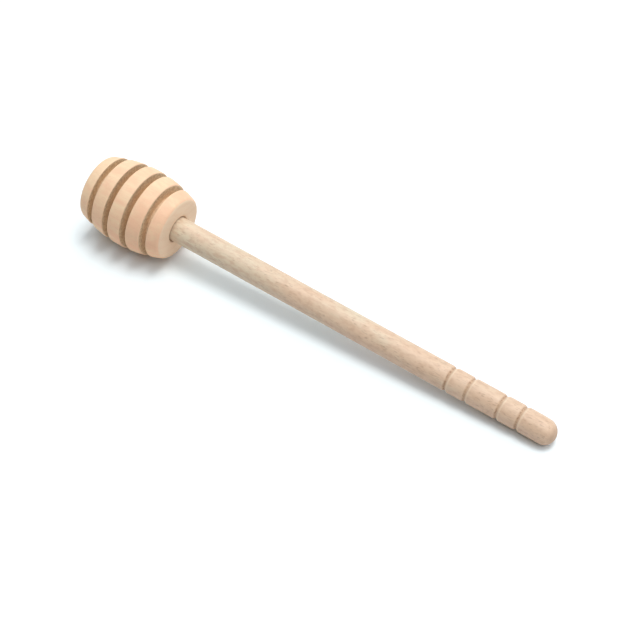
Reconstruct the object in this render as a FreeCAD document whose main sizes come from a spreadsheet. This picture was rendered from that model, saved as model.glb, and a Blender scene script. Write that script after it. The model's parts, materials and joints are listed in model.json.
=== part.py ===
# A wooden honey dipper: a turned and grooved head, glued on a dowel handle.
# Millimetres. Each piece is turned about its own X axis, from the nose at 0 towards the butt,
# and then lies on the table, z = 0, on its fattest ring and the underside of its butt.
import FreeCAD, Part
import Sketcher
import math
import os

# Driving dimensions
SIZES = {
    "dowel_diameter": 8.3,
    "handle_reach": 139.4,      # handle outside the head, up to the tip of the butt
    "butt_rounding": 3.6,
    "dowel_chamfer": 0.8,       # on the hidden end, so that the dowel enters its hole
    "score_width": 1.6,
    "score_depth": 0.6,
    "score_margin": 11.7,       # from the tip of the butt to the last scored ring
    "score_spacing": 7.0,       # between the two scored rings of a pair
    "score_pair_pitch": 18.1,
    "head_diameter": 27.0,      # at the middle ring
    "barrel_radius": 43.0,      # of the arc that the rings lie on, seen from the side
    "ring_width": 4.7,
    "end_ring_width": 4.15,
    "groove_width": 2.3,
    "groove_depth": 5.0,        # under the head's widest place; all the grooves have one floor
    "ring_rounding": 0.3,
    "end_rounding": 0.9,        # on the rims of the nose and of the shoulder
    "bore_depth": 22.0,
    "bore_countersink": 0.4,
    "glue_thickness": 0.1,      # around the dowel
    "glue_pad": 0.4,            # under the dowel's end
}
RINGS = 5
SCORES_IN_A_PAIR = 2
SCORE_PAIRS = 2

# Sizes that follow from the driving ones
DOWEL_RADIUS = "(Sizes.dowel_diameter / 2)"
HEAD_RADIUS = "(Sizes.head_diameter / 2)"
CORE_RADIUS = f"({HEAD_RADIUS} - Sizes.groove_depth)"
BORE_RADIUS = f"({DOWEL_RADIUS} + Sizes.glue_thickness)"
RING_PITCH = "(Sizes.ring_width + Sizes.groove_width)"
SECOND_RING = "(Sizes.end_ring_width + Sizes.groove_width)"
SHOULDER = f"({SECOND_RING} + {RINGS - 2} * {RING_PITCH} + Sizes.end_ring_width)"
BELLY = f"({SHOULDER} / 2)"
BARREL_SINK = f"(Sizes.barrel_radius - {HEAD_RADIUS})"
END_RADIUS = f"(sqrt(Sizes.barrel_radius ^ 2 - {BELLY} ^ 2) - {BARREL_SINK})"
BORE_FLOOR = f"({SHOULDER} - Sizes.bore_depth)"
DOWEL_END = f"({BORE_FLOOR} + Sizes.glue_pad)"
GLUE_RIM = f"({SHOULDER} - Sizes.bore_countersink)"
TIP = f"({SHOULDER} + Sizes.handle_reach)"
BUTT_ROUNDING = "min(Sizes.butt_rounding; 0.48 * Sizes.dowel_diameter)"
LAST_SCORE = f"({TIP} - Sizes.score_margin)"

# The tangent under the barrel's arc and the rounded butt is the table
BUTT_CENTRE = f"({TIP} - {BUTT_ROUNDING})"
BUTT_LIFT = f"({DOWEL_RADIUS} - {BUTT_ROUNDING})"
REST_RUN = f"({BUTT_CENTRE} - {BELLY})"
REST_RISE = f"({BARREL_SINK} + {BUTT_LIFT})"
REST_SPAN = f"sqrt({REST_RUN} ^ 2 + {REST_RISE} ^ 2)"
TILT = f"(atan({REST_RUN} / {REST_RISE}) - acos((Sizes.barrel_radius - {BUTT_ROUNDING}) / {REST_SPAN}))"
LIFT = f"Sizes.barrel_radius + {BELLY} * sin({TILT}) - {BARREL_SINK} * cos({TILT})"
NOSE_CENTRE_RADIUS = f"({END_RADIUS} - Sizes.end_rounding)"
NOSE_END = f"(Sizes.end_rounding * (cos({TILT}) - 1) - {NOSE_CENTRE_RADIUS} * sin({TILT}))"
BUTT_END = f"({BUTT_CENTRE} * cos({TILT}) + {BUTT_LIFT} * sin({TILT}) + {BUTT_ROUNDING})"
SHIFT = f"-({NOSE_END} + {BUTT_END}) / 2"

ORIGIN, HORIZONTAL, VERTICAL = -1, -1, -2
START, END, CENTRE = 1, 2, 3
CLEAR = 1.0     # how far a cutting outline stands out of the wood
NEAR = 0.001    # two places closer than this are the same

doc = FreeCAD.newDocument("HoneyDipper")
sheet = doc.addObject("Spreadsheet::Sheet", "Sizes")
for row, (alias, size) in enumerate(SIZES.items(), 1):
    sheet.set(f"A{row}", alias)
    sheet.set(f"B{row}", str(size))
    sheet.setAlias(f"B{row}", alias)
doc.recompute()


def value(size):
    return sheet.evalExpression(size)


def new_body(label):
    body = doc.addObject("PartDesign::Body", label)
    body.Label = label
    return body


def new_sketch(body, name):
    # A sketch in the plane of the axis: along it, and out from it
    plane = next(item for item in body.Origin.OriginFeatures if item.Role == "XZ_Plane")
    sketch = body.newObject("Sketcher::SketchObject", name)
    sketch.AttachmentSupport = [(plane, "")]
    sketch.MapMode = "FlatFace"
    return sketch


def constrain(sketch, kind, *references):
    return sketch.addConstraint(Sketcher.Constraint(kind, *references))


def bind(sketch, kind, references, size):
    # Adds one dimension that follows the sheet
    index = constrain(sketch, kind, *references, value(size))
    sketch.setExpression(f"Constraints[{index}]", size)


def place(sketch, line, point, along, out):
    # Dimensions one corner from the sketch's origin; None is on the axis, or at the nose
    if along is None:
        constrain(sketch, "PointOnObject", line, point, VERTICAL)
    else:
        bind(sketch, "DistanceX", (ORIGIN, START, line, point), along)
    if out is None:
        constrain(sketch, "PointOnObject", line, point, HORIZONTAL)
    else:
        bind(sketch, "DistanceY", (ORIGIN, START, line, point), out)


def vector(along, out):
    places = [0.0 if size is None else value(size) for size in (along, out)]
    return FreeCAD.Vector(*places, 0)


def outline(body, name, corners):
    # A closed outline of straight lines through corners given as (along, out)
    sketch = new_sketch(body, name)
    count = len(corners)
    for line in range(count):
        ends = vector(*corners[line]), vector(*corners[(line + 1) % count])
        sketch.addGeometry(Part.LineSegment(*ends))
    for line, corner in enumerate(corners):
        constrain(sketch, "Coincident", line, END, (line + 1) % count, START)
        place(sketch, line, START, *corner)
    doc.recompute()
    return sketch


def turn(body, sketch, name):
    # Turned solid about the sketch's own horizontal axis
    feature = body.newObject("PartDesign::Revolution", name)
    feature.Profile = sketch
    feature.ReferenceAxis = (sketch, ["H_Axis"])
    feature.Angle = 360
    doc.recompute()
    return feature


def turn_away(body, sketch, name):
    before = body.Shape.Volume
    feature = body.newObject("PartDesign::Groove", name)
    feature.Profile = sketch
    feature.ReferenceAxis = (sketch, ["H_Axis"])
    feature.Angle = 360
    doc.recompute()
    if body.Shape.Volume >= before:
        raise RuntimeError(f"{name} took no wood away")
    return feature


def row_of_cuts(body, sketch, name, count, spacing):
    # Copies run from the first cut towards the nose
    pattern = body.newObject("PartDesign::LinearPattern", name)
    pattern.Direction = (sketch, ["H_Axis"])
    pattern.Reversed = True
    pattern.Occurrences = count
    pattern.setExpression("Length", f"{count - 1} * {spacing}")
    return pattern


def rim_at(body, along):
    # Names of the edges that run round the axis at a place along it
    names = []
    for number, edge in enumerate(body.Shape.Edges, 1):
        box = edge.BoundBox
        if box.XLength < NEAR and abs(box.Center.x - along) < NEAR:
            names.append(f"Edge{number}")
    return names


def soften(body, kind, name, names, size):
    base = body.Tip
    feature = body.newObject(f"PartDesign::{kind}", name)
    feature.Base = (base, names)
    feature.setExpression("Radius" if kind == "Fillet" else "Size", size)
    doc.recompute()
    return feature


def lay_down(body):
    body.Placement = FreeCAD.Placement(FreeCAD.Vector(), FreeCAD.Rotation(FreeCAD.Vector(0, 1, 0), 1))
    body.setExpression("Placement.Rotation.Angle", TILT)
    body.setExpression("Placement.Base.x", SHIFT)
    body.setExpression("Placement.Base.z", LIFT)


def ring_faces(ring):
    # Where a ring's two flat faces are along the axis, counted from the nose
    if ring == 0:
        return None, "Sizes.end_ring_width"
    left = f"({SECOND_RING} + {ring - 1} * {RING_PITCH})"
    if ring == RINGS - 1:
        return left, SHOULDER
    return left, f"({left} + Sizes.ring_width)"


def add_arc(sketch, centre, radius, right, left):
    # An arc runs against the clock, so it starts at its right end
    angles = [math.atan2(point.y - centre.y, point.x - centre.x) for point in (right, left)]
    circle = Part.Circle(centre, FreeCAD.Vector(0, 0, 1), radius)
    return sketch.addGeometry(Part.ArcOfCircle(circle, *angles))


def rim_points(face, inwards, radius):
    # The centre of a rounded rim, and where it meets its flat face and the barrel's arc
    barrel = value("Sizes.barrel_radius")
    barrel_centre = FreeCAD.Vector(value(BELLY), -value(BARREL_SINK), 0)
    along = face + inwards * radius
    out = math.sqrt((barrel - radius) ** 2 - (along - barrel_centre.x) ** 2) + barrel_centre.y
    centre = FreeCAD.Vector(along, out, 0)
    on_barrel = barrel_centre + (centre - barrel_centre) * (barrel / (barrel - radius))
    return centre, FreeCAD.Vector(face, out, 0), on_barrel


def draw_ring(sketch, ring):
    # One ring of the profile: face, rim, crown on the barrel's arc, rim, face
    left, right = ring_faces(ring)
    left_foot = None if ring == 0 else CORE_RADIUS
    right_foot = None if ring == RINGS - 1 else CORE_RADIUS
    left_rounding = "Sizes.end_rounding" if ring == 0 else "Sizes.ring_rounding"
    right_rounding = "Sizes.end_rounding" if ring == RINGS - 1 else "Sizes.ring_rounding"

    left_base, right_base = vector(left, left_foot), vector(right, right_foot)
    left_centre, left_top, left_shoulder = rim_points(left_base.x, 1, value(left_rounding))
    right_centre, right_top, right_shoulder = rim_points(right_base.x, -1, value(right_rounding))
    barrel_centre = FreeCAD.Vector(value(BELLY), -value(BARREL_SINK), 0)
    left_face = sketch.addGeometry(Part.LineSegment(left_base, left_top))
    left_rim = add_arc(sketch, left_centre, value(left_rounding), left_shoulder, left_top)
    crown = add_arc(sketch, barrel_centre, value("Sizes.barrel_radius"), right_shoulder, left_shoulder)
    right_rim = add_arc(sketch, right_centre, value(right_rounding), right_top, right_shoulder)
    right_face = sketch.addGeometry(Part.LineSegment(right_top, right_base))

    constrain(sketch, "Tangent", left_face, END, left_rim, END)
    constrain(sketch, "Tangent", left_rim, START, crown, END)
    constrain(sketch, "Tangent", crown, START, right_rim, END)
    constrain(sketch, "Tangent", right_rim, START, right_face, START)
    constrain(sketch, "Vertical", left_face)
    constrain(sketch, "Vertical", right_face)
    bind(sketch, "Radius", (left_rim,), left_rounding)
    bind(sketch, "Radius", (right_rim,), right_rounding)
    place(sketch, left_face, START, left, left_foot)
    place(sketch, right_face, END, right, right_foot)
    return left_face, crown, right_face


def add_link(sketch, from_face, to_face):
    # A line along the axis, from the end of one face to the start of another
    begin = sketch.Geometry[from_face].EndPoint
    finish = sketch.Geometry[to_face].StartPoint
    link = sketch.addGeometry(Part.LineSegment(begin, finish))
    constrain(sketch, "Coincident", from_face, END, link, START)
    constrain(sketch, "Coincident", link, END, to_face, START)


def head_outline(body):
    # The lathe's profile: rings on one barrel arc, groove floors between them, and the axis
    sketch = new_sketch(body, "HeadOutline")
    rings = [draw_ring(sketch, ring) for ring in range(RINGS)]
    nose_face, first_crown, _ = rings[0]
    bind(sketch, "Radius", (first_crown,), "Sizes.barrel_radius")
    bind(sketch, "DistanceX", (ORIGIN, START, first_crown, CENTRE), BELLY)
    bind(sketch, "DistanceY", (first_crown, CENTRE, ORIGIN, START), BARREL_SINK)
    for (_, _, wall), (next_wall, crown, _) in zip(rings, rings[1:]):
        add_link(sketch, wall, next_wall)
        constrain(sketch, "Coincident", first_crown, CENTRE, crown, CENTRE)
        constrain(sketch, "Equal", first_crown, crown)
    add_link(sketch, rings[-1][2], nose_face)
    doc.recompute()
    return sketch


def make_head():
    body = new_body("dipper_head")
    turn(body, head_outline(body), "Barrel")

    # A blind hole for the dowel, with an eased mouth
    past = f"({SHOULDER} + {CLEAR})"
    mouth = f"({BORE_RADIUS} + Sizes.bore_countersink + {CLEAR})"
    hole = outline(body, "BoreSection", [
        (BORE_FLOOR, None), (BORE_FLOOR, BORE_RADIUS), (GLUE_RIM, BORE_RADIUS), (past, mouth), (past, None)])
    turn_away(body, hole, "Bore")
    lay_down(body)
    return body


def make_handle():
    body = new_body("handle")
    stick = outline(body, "DowelOutline", [
        (DOWEL_END, None), (DOWEL_END, DOWEL_RADIUS), (TIP, DOWEL_RADIUS), (TIP, None)])
    turn(body, stick, "Dowel")
    soften(body, "Chamfer", "HiddenEnd", rim_at(body, value(DOWEL_END)), "Sizes.dowel_chamfer")
    soften(body, "Fillet", "Butt", rim_at(body, value(TIP)), BUTT_ROUNDING)

    # One scored vee, whose sides run on past the surface, and its copies in pairs
    point = f"({DOWEL_RADIUS} - Sizes.score_depth)"
    brim = f"({DOWEL_RADIUS} + Sizes.score_depth)"
    vee = outline(body, "ScoreSection", [
        (LAST_SCORE, point),
        (f"({LAST_SCORE} + Sizes.score_width)", brim),
        (f"({LAST_SCORE} - Sizes.score_width)", brim)])
    score = turn_away(body, vee, "LastScore")
    scores = body.newObject("PartDesign::MultiTransform", "Scores")
    pair = row_of_cuts(body, vee, "Pair", SCORES_IN_A_PAIR, "Sizes.score_spacing")
    pairs = row_of_cuts(body, vee, "Pairs", SCORE_PAIRS, "Sizes.score_pair_pitch")
    scores.Originals = [score]
    scores.Transformations = [pair, pairs]
    body.Tip = scores
    doc.recompute()
    lay_down(body)
    return body


def make_glue():
    # Fills the room between the dowel and its hole, up to the eased mouth
    body = new_body("glue_film")
    chamfer_end = f"({DOWEL_END} + Sizes.dowel_chamfer)"
    end_face_radius = f"({DOWEL_RADIUS} - Sizes.dowel_chamfer)"
    section = outline(body, "GlueSection", [
        (BORE_FLOOR, None), (BORE_FLOOR, BORE_RADIUS), (GLUE_RIM, BORE_RADIUS), (GLUE_RIM, DOWEL_RADIUS),
        (chamfer_end, DOWEL_RADIUS), (DOWEL_END, end_face_radius), (DOWEL_END, None)])
    turn(body, section, "Glue")
    lay_down(body)
    return body


pieces = [make_head(), make_handle(), make_glue()]
doc.recompute()
for item in doc.Objects:
    if "Invalid" in item.State or "Error" in item.State:
        raise RuntimeError(f"{item.Name} failed: {item.State}")
for piece in pieces:
    if piece.Shape.isNull() or not piece.Shape.isValid() or len(piece.Shape.Solids) != 1:
        raise RuntimeError(f"{piece.Label} is not one sound solid")

os.makedirs("parts", exist_ok=True)
for piece in pieces:
    piece.Shape.exportStep(f"parts/{piece.Label}.step")
    print(piece.Label, round(piece.Shape.Volume, 1), piece.Shape.BoundBox)
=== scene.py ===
# The looks of a wooden honey dipper: a turned beech head with honey grooves, glued on a beech dowel.
# Each turned piece is drawn in millimetres along its own axis, from the nose to the butt, and is then
# laid in its place on the table.

import json
import math
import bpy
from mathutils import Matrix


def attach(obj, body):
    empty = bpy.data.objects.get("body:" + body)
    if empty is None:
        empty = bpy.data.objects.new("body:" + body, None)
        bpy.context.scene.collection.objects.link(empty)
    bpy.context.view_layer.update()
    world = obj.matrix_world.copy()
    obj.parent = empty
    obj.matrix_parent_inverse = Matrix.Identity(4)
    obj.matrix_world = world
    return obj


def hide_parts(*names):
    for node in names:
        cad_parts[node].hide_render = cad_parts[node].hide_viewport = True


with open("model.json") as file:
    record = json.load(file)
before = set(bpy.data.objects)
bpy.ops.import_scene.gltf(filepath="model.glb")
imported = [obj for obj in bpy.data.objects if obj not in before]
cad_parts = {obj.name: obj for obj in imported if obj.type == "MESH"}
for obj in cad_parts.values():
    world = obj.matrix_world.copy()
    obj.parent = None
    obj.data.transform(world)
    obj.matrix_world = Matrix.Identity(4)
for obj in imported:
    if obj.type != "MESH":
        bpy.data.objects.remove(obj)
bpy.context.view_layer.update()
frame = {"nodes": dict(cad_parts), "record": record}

from types import SimpleNamespace

import bmesh
import bpy
from mathutils import Matrix, Vector, noise

MM = 0.001

# Where the dipper lies: its nose, and the way its axis runs to the butt
mounts = {mount["name"]: mount for mount in frame["record"]["mounts"]}
NOSE = Vector(mounts["nose_face"]["pos_m"])
AXIS = Vector(mounts["shoulder_face"]["axis"]).normalized()
TILT = math.atan2(-AXIS.z, AXIS.x)
LAID = Matrix.Translation(NOSE) @ Matrix.Rotation(TILT, 4, "Y") @ Matrix.Scale(MM, 4)

# The head, in millimetres: its rings lie on a barrel's arc, and the grooves have one floor
HEAD_RADIUS = 13.5
BARREL_RADIUS = 43.0
BARREL_SINK = BARREL_RADIUS - HEAD_RADIUS
END_RING = 4.15
RING = 4.7
GROOVE = 2.3
GROOVE_DEPTH = 5.0
RIM_ROUNDING = 0.3
END_ROUNDING = 0.9
FLOOR_ROUNDING = 0.25
RING_WIDTHS = (END_RING, RING, RING, RING, END_RING)
RING_PITCH = RING + GROOVE
SHOULDER = sum(RING_WIDTHS) + GROOVE * (len(RING_WIDTHS) - 1)
BELLY = SHOULDER / 2
CORE_RADIUS = HEAD_RADIUS - GROOVE_DEPTH

# The handle and the hole that it is glued in, in millimetres
DOWEL_RADIUS = 4.15
DOWEL_CHAMFER = 0.8
HANDLE_REACH = 139.4
BUTT_ROUNDING = 3.6
GLUE = 0.1
GLUE_PAD = 0.4
BORE_DEPTH = 22.0
BORE_COUNTERSINK = 0.4
BORE_RADIUS = DOWEL_RADIUS + GLUE
MOUTH_RADIUS = BORE_RADIUS + BORE_COUNTERSINK
BORE_FLOOR = SHOULDER - BORE_DEPTH
DOWEL_END = BORE_FLOOR + GLUE_PAD
TIP = SHOULDER + HANDLE_REACH

# The scored rings near the butt, in two pairs, in millimetres
SCORE_MARGIN = 11.7
SCORE_SPACING = 7.0
SCORE_PAIR_PITCH = 18.1
SCORE_HALF_WIDTH = 0.8
SCORE_DEPTH = 0.6
SCORE_EASING = 0.12
SCORE_BOTTOM = DOWEL_RADIUS - SCORE_DEPTH
LAST_SCORE = TIP - SCORE_MARGIN
PAIR_ENDS = (LAST_SCORE - SCORE_PAIR_PITCH, LAST_SCORE)
SCORES = [pair_end - ring * SCORE_SPACING for pair_end in PAIR_ENDS for ring in (1, 0)]

# How finely the pieces are turned
HEAD_STEPS = 160
HANDLE_STEPS = 96
LONGEST_EDGE = 1.0
LONGEST_HANDLE_EDGE = 2.5
SAME_PLACE = 0.0005

# How far wear stays off the mouth of the hole and the bottoms of the scores, and the smallest radius to
# divide by, in millimetres; and the largest share of a radius that sanding takes off
WEAR_MARGIN = 0.1
SMALLEST_RADIUS = 0.001
MOST_SANDED = 0.5


def barrel(x):
    """The head's radius before its grooves are cut."""
    return math.sqrt(BARREL_RADIUS ** 2 - (x - BELLY) ** 2) - BARREL_SINK


class Outline:
    """Half the outline of a turned piece, whose corners are eased before it is spun."""

    def __init__(self):
        self.bm = bmesh.new()
        self.last = None
        self.corners = {}

    def to(self, x, radius, easing=None):
        """Goes on to a point; easing is how far its corner is rounded and in how many segments."""
        vert = self.bm.verts.new((x, 0.0, radius))
        if self.last:
            self.bm.edges.new((self.last, vert))
        if easing:
            self.corners.setdefault(easing, []).append(vert)
        self.last = vert

    def spin(self, steps, longest):
        """Eases the corners, splits the long edges and spins the outline into a closed shell."""
        bm = self.bm
        for (size, segments), verts in self.corners.items():
            bmesh.ops.bevel(
                bm, geom=verts, offset=size, offset_type="OFFSET", segments=segments,
                profile=0.5, affect="VERTICES", material=-1,
            )
        for edge in list(bm.edges):
            cuts = int(edge.calc_length() / longest)
            if cuts:
                bmesh.ops.subdivide_edges(bm, edges=[edge], cuts=cuts)
        bmesh.ops.spin(
            bm, geom=bm.verts[:] + bm.edges[:], cent=(0, 0, 0), axis=(1, 0, 0),
            angle=2 * math.pi, steps=steps, use_merge=True,
        )
        bmesh.ops.remove_doubles(bm, verts=bm.verts, dist=SAME_PLACE)
        bmesh.ops.recalc_face_normals(bm, faces=bm.faces)
        return bm


def wear(bm, depth, along, around, seed, inside):
    """Takes a little wood off in patches, as the tool and the sandpaper do, but none inside a radius."""
    for vert in bm.verts:
        radius = math.hypot(vert.co.y, vert.co.z)
        if radius > inside:
            place = Vector((vert.co.x / along, vert.co.y / around, vert.co.z / around))
            share = 0.5 + 0.5 * noise.noise(place + Vector((seed, seed, seed)))
            kept = 1 - depth * min(max(share, 0.0), 1.0) / radius
            vert.co.y *= kept
            vert.co.z *= kept


def sand_butt(bm, length, depth, side):
    """Sands the butt down further on one side, more and more towards its tip."""
    for vert in bm.verts:
        share = max(vert.co.x - (TIP - length), 0.0) / length
        radius = max(math.hypot(vert.co.y, vert.co.z), SMALLEST_RADIUS)
        facing = (vert.co.y * side[0] + vert.co.z * side[1]) / radius
        if share and facing > 0.0:
            kept = 1 - min(depth * share ** 2 * facing / radius, MOST_SANDED)
            vert.co.y *= kept
            vert.co.z *= kept


def lay_down(bm, name, body, node, material):
    """Lays a finished mesh in its place as a piece that stands for a node."""
    bm.transform(LAID)
    mesh = bpy.data.meshes.new(name)
    bm.to_mesh(mesh)
    bm.free()
    mesh.shade_smooth()
    mesh.materials.append(material)
    piece = bpy.data.objects.new(name, mesh)
    bpy.context.scene.collection.objects.link(piece)
    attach(piece, body)
    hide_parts(node)


class Wire:
    """One value in a node tree, on which Python's own operators work."""

    def __init__(self, socket):
        self.socket = socket

    def node(self, kind, settings, inputs, output=None):
        """Adds a node: first its settings, then the values or links of its sockets."""
        tree = self.socket.id_data
        node = tree.nodes.new(kind)
        for name, setting in settings.items():
            setattr(node, name, setting)
        sockets = {socket.identifier: socket for socket in node.inputs}
        for name, given in inputs.items():
            if isinstance(given, Wire):
                tree.links.new(given.socket, sockets[name])
            else:
                sockets[name].default_value = given
        outputs = {socket.identifier: socket for socket in node.outputs}
        return Wire(outputs[output] if output else node.outputs[0])

    def math(self, operation, first, second):
        inputs = {"Value": first, "Value_001": second}
        return self.node("ShaderNodeMath", {"operation": operation}, inputs)

    def __add__(self, other):
        return self.math("ADD", self, other)

    def __radd__(self, other):
        return self.math("ADD", other, self)

    def __sub__(self, other):
        return self.math("SUBTRACT", self, other)

    def __rsub__(self, other):
        return self.math("SUBTRACT", other, self)

    def __mul__(self, other):
        return self.math("MULTIPLY", self, other)

    def __rmul__(self, other):
        return self.math("MULTIPLY", other, self)

    def __truediv__(self, other):
        return self.math("DIVIDE", self, other)

    def __pow__(self, other):
        return self.math("POWER", self, other)

    def __abs__(self):
        return self.node("ShaderNodeMath", {"operation": "ABSOLUTE"}, {"Value": self})

    def fraction(self):
        return self.node("ShaderNodeMath", {"operation": "FRACT"}, {"Value": self})

    def above(self, level):
        return self.math("GREATER_THAN", self, level)

    def ease(self, low, high):
        """0 at low, 1 at high, and smooth between them."""
        return self.node(
            "ShaderNodeMapRange", {"interpolation_type": "SMOOTHSTEP"},
            {"Value": self, "From Min": low, "From Max": high},
        )

    def blend(self, first, second):
        """Goes from one colour to the other as this value goes from 0 to 1."""
        return self.node(
            "ShaderNodeMix", {"data_type": "RGBA", "blend_type": "MIX"},
            {"Factor_Float": self, "A_Color": first, "B_Color": second}, "Result_Color",
        )

    def stretched(self, sizes, shift=(0.0, 0.0, 0.0), turn=(0.0, 0.0, 0.0)):
        """This place in units of the given sizes."""
        return self.node(
            "ShaderNodeMapping", {"vector_type": "TEXTURE"},
            {"Vector": self, "Location": shift, "Rotation": turn, "Scale": sizes},
        )

    def noise(self, detail=2.0, roughness=0.5):
        return self.node(
            "ShaderNodeTexNoise", {},
            {"Vector": self, "Scale": 1.0, "Detail": detail, "Roughness": roughness},
        )


def tone(red, green, blue):
    """A colour from its display values, 0 to 255."""
    levels = [level / 255 for level in (red, green, blue)]
    linear = [v / 12.92 if v <= 0.04045 else ((v + 0.055) / 1.055) ** 2.4 for v in levels]
    return (*linear, 1.0)


def new_material(name):
    """An empty material, its shader and the place on the surface, in metres."""
    material = bpy.data.materials.new(name)
    material.use_nodes = True
    tree = material.node_tree
    shader = tree.nodes["Principled BSDF"]
    coordinates = tree.nodes.new("ShaderNodeTexCoord")
    return material, shader, Wire(coordinates.outputs["Object"])


def feed(shader, **links):
    """Links values to the shader's sockets, named with underscores for spaces."""
    for name, wire in links.items():
        shader.id_data.links.new(wire.socket, shader.inputs[name.replace("_", " ")])


def along_the_axis(place):
    """The place on a piece in millimetres along and around the dipper's own axis."""
    return place.stretched((MM, MM, MM), NOSE, (0.0, TILT, 0.0))


def split(vector):
    """The three values of a place, each as a value of its own."""
    parts = vector.node("ShaderNodeSeparateXYZ", {}, {"Vector": vector})
    outputs = parts.socket.node.outputs
    return [Wire(outputs[name]) for name in ("X", "Y", "Z")]


def end_grain(place, slant):
    """1 where a cut runs across the fibres, 0 along them; slant is where it starts and is full."""
    geometry = place.node("ShaderNodeNewGeometry", {}, {}, "Normal")
    facing = geometry.node(
        "ShaderNodeVectorMath", {"operation": "DOT_PRODUCT"},
        {"Vector": geometry, "Vector_001": AXIS}, "Value",
    )
    return abs(facing).ease(*slant)


# The figure of beech: how large each mark is along and across the grain, in millimetres, the levels of
# its noise at which it starts to show and is full, and the angle at which the fibres leave the axis
WARMTH_SHOWS = (0.32, 0.68)
FIBRE = SimpleNamespace(size=(9.0, 0.4, 0.4), shows=(0.4, 0.75))
MOTTLE = SimpleNamespace(size=(2.6, 1.1, 1.1), shows=(0.42, 0.72))
RAY = SimpleNamespace(size=(1.7, 0.3, 0.3), shows=(0.6, 0.7))
CROWD = SimpleNamespace(size=(11.0, 4.0, 4.0), shows=(0.25, 0.6))
PORE = SimpleNamespace(size=(3.0, 0.12, 0.12), shows=(0.5, 0.75))
TEAR = SimpleNamespace(size=(0.7, 0.7, 0.7), shows=(0.42, 0.6))
RUN_OUT = (0.0, math.radians(3.0), math.radians(4.0))

# Years of growth: how far they wander, in years, over which distances, in millimetres, and where the
# darker wood of a year starts and is full
BEND = 1.6
BEND_SIZE = (34.0, 9.0, 9.0)
LATE_WOOD = (0.35, 0.95)

# How much of its tone each mark puts on the wood, and a darker tone: painted shade in the hole's
# mouth, and in the scores a tone that gets darker towards their bottoms
END_SHARE = 0.8
END_YEARS_SHARE = 0.12
END_PORES_SHARE = 0.2
RIM_HIGHLIGHT_SHARE = 0.5
TEAR_SHARE = 0.65
DARK_SHARE = 0.55
DARK_TONE = tone(138, 104, 72)

# What makes the wood rougher, and the heights of its marks as multiples of the bump's depth
ROUGHER = SimpleNamespace(fibre=0.16, ends=0.12, deep=0.1)
HEIGHT = SimpleNamespace(fibre=0.6, pores=0.3, pores_on_sides=0.4, flecks=0.25, torn=1.5)
BUMP_STRENGTH = 0.35
BUMP_DEPTH = 0.06 * MM
WOOD_IOR = 1.45

# The two woods. The pith's place beside the axis, a year's width and the size of a warm patch are in
# millimetres. The wood gets warmer by drift for each millimetre from its middle towards the butt. After
# the tones come the shares of bands, mottles, flecks and cuts, where end grain starts, and the gloss.
# The cut tone is painted shade in the head's grooves and a darker tone in the handle's scores; the rim
# highlight is a painted highlight on the rings' rims and the scores' butt-side edges.
HEAD_BEECH = SimpleNamespace(
    seed=3.7, pith=(9.0, 31.0), year=2.6, patch=(11.0, 4.0, 4.0), drift=0.008, middle=BELLY,
    pale=tone(254, 222, 187), warm=tone(252, 206, 173),
    line=tone(238, 188, 153), fleck=tone(198, 164, 130),
    end=tone(252, 228, 202), cut=tone(230, 208, 176), rim_highlight=tone(254, 222, 187),
    banding=0.1, mottling=0.16, flecking=0.12, shading=0.9,
    end_slant=(0.75, 0.98), roughness=0.5, specular=0.4,
)
HANDLE_BEECH = SimpleNamespace(
    seed=11.3, pith=(-16.0, 24.0), year=1.9, patch=(24.0, 9.0, 9.0), drift=0.003, middle=TIP / 2,
    pale=tone(225, 211, 187), warm=tone(228, 198, 172),
    line=tone(201, 163, 134), fleck=tone(146, 106, 80),
    end=tone(202, 170, 144), cut=tone(176, 140, 106), rim_highlight=tone(240, 216, 190),
    banding=0.16, mottling=0.52, flecking=0.36, shading=0.45,
    end_slant=(0.45, 0.95), roughness=0.36, specular=0.75,
)


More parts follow.
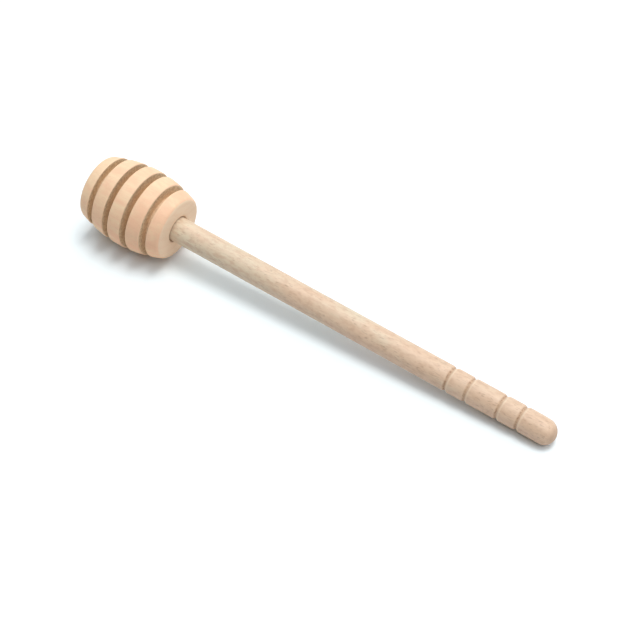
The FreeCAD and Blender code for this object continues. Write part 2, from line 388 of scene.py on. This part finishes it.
def beech(name, wood, hollow):
    """Sanded beech with years, fibres, flecks and end grain.

    hollow takes a place's x and radius and gives its share of cut tone, painted rim highlight and darker
    tone.
    """
    material, shader, place = new_material(name)
    local = along_the_axis(place)
    x, y, z = split(local)
    seed = wood.seed

    # Years show as faint bands, because the pith lies outside the piece
    bend = local.stretched(BEND_SIZE, (seed, 0.0, 0.0)).noise()
    from_pith = ((y - wood.pith[0]) ** 2.0 + (z - wood.pith[1]) ** 2.0) ** 0.5
    years = (from_pith / wood.year + bend * BEND).fraction()
    late = years.ease(*LATE_WOOD) * (1.0 - years.ease(LATE_WOOD[1], 1.0))

    # The fibres run out of the piece at a small angle, and show as dots on a cut end
    grain = local.stretched((1.0, 1.0, 1.0), (0.0, seed, 0.0), RUN_OUT)
    fibre = grain.stretched(FIBRE.size, (seed, seed, 0.0)).noise(detail=3.0, roughness=0.6)
    mottle = grain.stretched(MOTTLE.size, (seed, 0.0, 0.0)).noise(detail=3.0, roughness=0.6)
    ray = grain.stretched(RAY.size, (seed, 0.0, seed)).noise(detail=1.0, roughness=0.4)
    crowd = grain.stretched(CROWD.size, (0.0, seed, 0.0)).noise()
    flecks = ray.ease(*RAY.shows) * crowd.ease(*CROWD.shows)
    pores = grain.stretched(PORE.size, (0.0, 0.0, seed)).noise()

    # Warmer patches, and fibres torn by the tool in the cuts
    patches = local.stretched(wood.patch, (seed, seed, 0.0)).noise(detail=3.0, roughness=0.6)
    warmth = patches + wood.drift * (x - wood.middle)
    torn = local.stretched(TEAR.size, (seed, 0.0, seed)).noise(detail=2.0, roughness=0.6)

    # Each tone covers a share of those before it
    ends = end_grain(place, wood.end_slant)
    sides = 1.0 - ends
    deep, rim, darkening = hollow(x, (y ** 2.0 + z ** 2.0) ** 0.5)
    layers = (
        (late * wood.banding, wood.line),
        (fibre.ease(*FIBRE.shows) * wood.banding, wood.line),
        (mottle.ease(*MOTTLE.shows) * wood.mottling, wood.line),
        (flecks * wood.flecking * sides, wood.fleck),
        (ends * END_SHARE * (1.0 - deep), wood.end),
        (ends * late * END_YEARS_SHARE, wood.line),
        (ends * pores.ease(*PORE.shows) * END_PORES_SHARE, wood.fleck),
        # painted highlight: a paler tone on the head's ring rims and on the scores' butt-side edges
        (rim * RIM_HIGHLIGHT_SHARE * sides, wood.rim_highlight),
        # painted shade in the head's grooves; in the scores, a tone that gets darker towards the bottom
        (deep * wood.shading, wood.cut),
        (deep * torn.ease(*TEAR.shows) * TEAR_SHARE, wood.fleck),
        # painted shade in the hole's mouth; in the scores, darker at the bottom
        (darkening * DARK_SHARE, DARK_TONE),
    )
    colour = warmth.ease(*WARMTH_SHOWS).blend(wood.pale, wood.warm)
    for share, cover in layers:
        colour = share.blend(colour, cover)

    roughness = wood.roughness + ROUGHER.fibre * fibre + ROUGHER.ends * ends + ROUGHER.deep * deep
    raised = fibre * HEIGHT.fibre + pores * HEIGHT.pores * (HEIGHT.pores_on_sides + ends)
    height = raised - flecks * HEIGHT.flecks + torn * deep * HEIGHT.torn
    bump = height.node(
        "ShaderNodeBump", {}, {"Height": height, "Strength": BUMP_STRENGTH, "Distance": BUMP_DEPTH},
    )
    feed(shader, Base_Color=colour, Roughness=roughness, Normal=bump)
    shader.inputs["IOR"].default_value = WOOD_IOR
    shader.inputs["Specular IOR Level"].default_value = wood.specular
    return material


# Painted shade in the head's cuts, in millimetres: depths at which a groove's darker tone starts and is
# full, and at which part of it goes again deep down, where the groove's own shade is deeper; how far
# from the ends there are grooves; how far a painted highlight on a ring's rim reaches; and where the
# painted shade in the mouth of the hole ends
GROOVE_SHOWS = (0.2, 0.6)
GROOVE_FADES = (0.8, 4.0)
GROOVE_FADE = 0.4
GROOVED_FROM = END_ROUNDING + 0.5
RIM_REACH = (0.15, 0.7)
MOUTH_EDGE = (MOUTH_RADIUS - 0.1, MOUTH_RADIUS + 0.15)
MOUTH_DEPTH = 1.0

# Shading of the scored rings, in millimetres: how far a score reaches, the depths at which its darker
# tone and its darker bottom show, and where the painted highlight on its butt-side edge starts and ends.
# The flank on that side gets less of the darker tone: painted light.
SCORE_REACH = 1.0
SCORE_SHOWS = (0.12, 0.4)
SCORE_DARKENING_SHOWS = (0.34, SCORE_DEPTH)
SCORE_DARKENING = 0.3
BUTT_SIDE_FADE = 0.7
EDGE_STARTS = (0.3, 0.6)
EDGE_ENDS = (0.8, 1.4)
EDGE_SHINE = 1.4


def groove_shade(x, radius):
    """Painted shade in the head's grooves, painted highlight on the rings' rims, painted shade in the
    mouth.
    """
    outside = (BARREL_RADIUS ** 2 - (x - BELLY) ** 2.0) ** 0.5 - BARREL_SINK
    within = x.above(GROOVED_FROM) * (1.0 - x.above(SHOULDER - GROOVED_FROM))
    below = outside - radius
    # painted shade: a darker, greyer tone in the grooves, a little less of it deep down
    deep = below.ease(*GROOVE_SHOWS) * (1.0 - GROOVE_FADE * below.ease(*GROOVE_FADES)) * within
    along_ring = ((x - END_RING) / RING_PITCH).fraction() * RING_PITCH - GROOVE
    # painted highlight along each ring's rim beside a groove
    rim = (1.0 - along_ring.ease(*RIM_REACH)) * (1.0 - deep) * within
    # painted shade around the mouth of the hole
    darkening = (1.0 - radius.ease(*MOUTH_EDGE)) * x.above(SHOULDER - MOUTH_DEPTH)
    return deep, rim, darkening


def score_shade(x, radius):
    """Share of a score's tone, of the painted highlight on its butt-side edge, and of its darker bottom.
    """
    within = x.above(SCORES[0] - SCORE_REACH) * (1.0 - x.above(SCORES[-1] + SCORE_REACH))
    below = DOWEL_RADIUS - radius
    butt_side = sum(x.above(score) * (1.0 - x.above(score + SCORE_REACH)) for score in SCORES)
    past = [x - score for score in SCORES]
    # painted highlight just past each score, on its butt-side edge
    edges = sum(way.ease(*EDGE_STARTS) * (1.0 - way.ease(*EDGE_ENDS)) for way in past)
    # the butt-side flank is painted less dark, as if lit
    deep = below.ease(*SCORE_SHOWS) * (1.0 - BUTT_SIDE_FADE * butt_side) * within
    rim = EDGE_SHINE * edges
    # darker towards the bottom of each score
    darkening = SCORE_DARKENING * below.ease(*SCORE_DARKENING_SHOWS) * within
    return deep, rim, darkening


# Dried glue: its two ambers, how large its clouds are, in millimetres, and its gloss
GLUE_CLOUD = SimpleNamespace(size=(1.5, 1.5, 1.5), shows=(0.3, 0.7))
CLEAR_AMBER = tone(196, 152, 92)
DARK_AMBER = tone(156, 112, 62)
GLUE_ROUGHNESS = 0.22
CLOUD_ROUGHNESS = 0.2
GLUE_COAT = 0.3


def set_glue():
    """Dried wood glue, amber and a little cloudy."""
    material, shader, place = new_material("set_glue")
    cloud = along_the_axis(place).stretched(GLUE_CLOUD.size).noise(detail=3.0, roughness=0.6)
    colour = cloud.ease(*GLUE_CLOUD.shows).blend(CLEAR_AMBER, DARK_AMBER)
    feed(shader, Base_Color=colour, Roughness=GLUE_ROUGHNESS + CLOUD_ROUGHNESS * cloud)
    shader.inputs["Coat Weight"].default_value = GLUE_COAT
    return material


# The head: nose, five rings with four grooves, shoulder and the hole for the handle
RIM = (RIM_ROUNDING, 4)
END = (END_ROUNDING, 6)
FLOOR = (FLOOR_ROUNDING, 3)
COUNTERSINK = (BORE_COUNTERSINK, 1)
ARC_SHARES = (0.3, 0.5, 0.7)

head = Outline()
head.to(0.0, 0.0)
at = 0.0
for number, width in enumerate(RING_WIDTHS):
    is_first = number == 0
    is_last = number == len(RING_WIDTHS) - 1
    if not is_first:
        head.to(at, CORE_RADIUS, FLOOR)
    head.to(at, barrel(at), END if is_first else RIM)
    for share in ARC_SHARES:
        head.to(at + share * width, barrel(at + share * width))
    at += width
    head.to(at, barrel(at), END if is_last else RIM)
    if not is_last:
        head.to(at, CORE_RADIUS, FLOOR)
        at += GROOVE
head.to(SHOULDER, BORE_RADIUS, COUNTERSINK)
head.to(BORE_FLOOR, BORE_RADIUS)
head.to(BORE_FLOOR, 0.0)
turned_head = head.spin(HEAD_STEPS, LONGEST_EDGE)
wear(turned_head, depth=0.08, along=9.0, around=6.0, seed=2.3, inside=MOUTH_RADIUS + WEAR_MARGIN)
head_wood = beech("turned_beech", HEAD_BEECH, groove_shade)
lay_down(turned_head, "turned_head", "root", "dipper_head", head_wood)

# The handle: a dowel, chamfered where it goes into the head, scored and rounded at the butt
EASED = (SCORE_EASING, 3)
ROUNDED = (BUTT_ROUNDING, 14)
UP_AND_AWAY = (0.79, 0.61)

handle = Outline()
handle.to(DOWEL_END, 0.0)
handle.to(DOWEL_END, DOWEL_RADIUS - DOWEL_CHAMFER)
handle.to(DOWEL_END + DOWEL_CHAMFER, DOWEL_RADIUS)
for score in SCORES:
    handle.to(score - SCORE_HALF_WIDTH, DOWEL_RADIUS, EASED)
    handle.to(score, SCORE_BOTTOM, EASED)
    handle.to(score + SCORE_HALF_WIDTH, DOWEL_RADIUS, EASED)
handle.to(TIP, DOWEL_RADIUS, ROUNDED)
handle.to(TIP, 0.0)
dowel = handle.spin(HANDLE_STEPS, LONGEST_HANDLE_EDGE)
wear(dowel, depth=0.06, along=14.0, around=3.0, seed=5.1, inside=SCORE_BOTTOM + WEAR_MARGIN)
sand_butt(dowel, length=8.0, depth=0.55, side=UP_AND_AWAY)
handle_wood = beech("beech_dowel", HANDLE_BEECH, score_shade)
lay_down(dowel, "dowel_handle", "root", "handle", handle_wood)

# The glue keeps its own shape, which only shows as a thin line in the mouth of the hole
glue = set_glue()
for slot in frame["nodes"]["glue_film"].material_slots:
    slot.material = glue


def show_apart(tree, kind, lighting, shown, output):
    """Fills a tree with two shaders: one that lights the dipper, and one that is seen itself."""
    tree.nodes.clear()
    rays = tree.nodes.new("ShaderNodeLightPath").outputs
    seen = Wire(rays["Is Camera Ray"])
    for ray in ("Is Glossy Ray", "Is Transmission Ray"):
        seen = seen.math("MAXIMUM", seen, Wire(rays[ray]))
    unseen_shader = seen.node(kind, {}, lighting)
    seen_shader = seen.node(kind, {}, shown)
    surface = seen.node(
        "ShaderNodeMixShader", {}, {"Fac": seen, "Shader": unseen_shader, "Shader_001": seen_shader},
    )
    tree.links.new(surface.socket, tree.nodes.new(output).inputs["Surface"])


# The table: white to the camera, with the dipper's shadow on it
TABLE_HALF = 1.5
TABLE_SEEN = (0.985, 1.08, 1.15, 1.0)
TABLE_BOUNCE = (0.83, 0.8, 0.78, 1.0)

table_material = bpy.data.materials.new("white_table")
table_material.use_nodes = True
show_apart(
    table_material.node_tree, "ShaderNodeBsdfDiffuse",
    {"Color": TABLE_BOUNCE}, {"Color": TABLE_SEEN}, "ShaderNodeOutputMaterial",
)
table_top = bmesh.new()
bmesh.ops.create_grid(table_top, x_segments=1, y_segments=1, size=TABLE_HALF)
table_mesh = bpy.data.meshes.new("table")
table_top.to_mesh(table_mesh)
table_top.free()
table_mesh.materials.append(table_material)
table = bpy.data.objects.new("table", table_mesh)
bpy.context.scene.collection.objects.link(table)

# A pale room, white to the camera
ROOM_COLOUR = (0.92, 0.98, 1.0, 1.0)
ROOM_STRENGTH = 0.05
WHITE = (1.0, 1.0, 1.0, 1.0)

room = bpy.data.worlds.new("pale_room")
room.use_nodes = True
bpy.context.scene.world = room
show_apart(
    room.node_tree, "ShaderNodeBackground",
    {"Color": ROOM_COLOUR, "Strength": ROOM_STRENGTH},
    {"Color": WHITE, "Strength": 1.0}, "ShaderNodeOutputWorld",
)

# The photograph's view, and the head's belly in it, from which the camera's place follows
VIEW_AZIMUTH = math.radians(34.8)
VIEW_ELEVATION = math.radians(46.0)
BELLY_RIGHT = -54.77 * MM
BELLY_DOWN = -32.79 * MM
BELLY_AHEAD = 702.7 * MM
LENS = 127.7
SENSOR = 36.0


def hang_lamp(name, level, spread, behind, aside, colour):
    """A round lamp overhead, so many degrees behind the dipper and to its right.

    level is how bright it makes a white table, and spread how wide it is, in degrees.
    """
    behind = math.radians(behind)
    aside = math.radians(aside)
    lamp = bpy.data.lights.new(name, "SUN")
    lamp.energy = level * math.pi / (math.cos(behind) * math.cos(aside))
    lamp.angle = math.radians(spread)
    lamp.color = colour
    hung = bpy.data.objects.new(name, lamp)
    hung.rotation_euler = (-behind, aside, VIEW_AZIMUTH)
    bpy.context.scene.collection.objects.link(hung)


# Soft light from a lamp overhead and a white canopy
hang_lamp("overhead_lamp", level=0.41, spread=26.0, behind=2.0, aside=8.0, colour=(1.0, 0.955, 0.895))
hang_lamp("white_canopy", level=0.69, spread=110.0, behind=6.0, aside=16.0, colour=(0.945, 0.99, 1.0))

camera = bpy.data.cameras.new("camera")
camera.lens = LENS
camera.sensor_width = SENSOR
camera_object = bpy.data.objects.new("camera", camera)
turn = Matrix.Rotation(VIEW_AZIMUTH, 4, "Z") @ Matrix.Rotation(math.pi / 2 - VIEW_ELEVATION, 4, "X")
belly = LAID @ Vector((BELLY, 0.0, 0.0))
to_belly = turn.to_3x3() @ Vector((BELLY_RIGHT, -BELLY_DOWN, -BELLY_AHEAD))
camera_object.matrix_world = Matrix.Translation(belly - to_belly) @ turn
bpy.context.scene.collection.objects.link(camera_object)
bpy.context.scene.camera = camera_object

bpy.context.scene.view_settings.view_transform = "Standard"
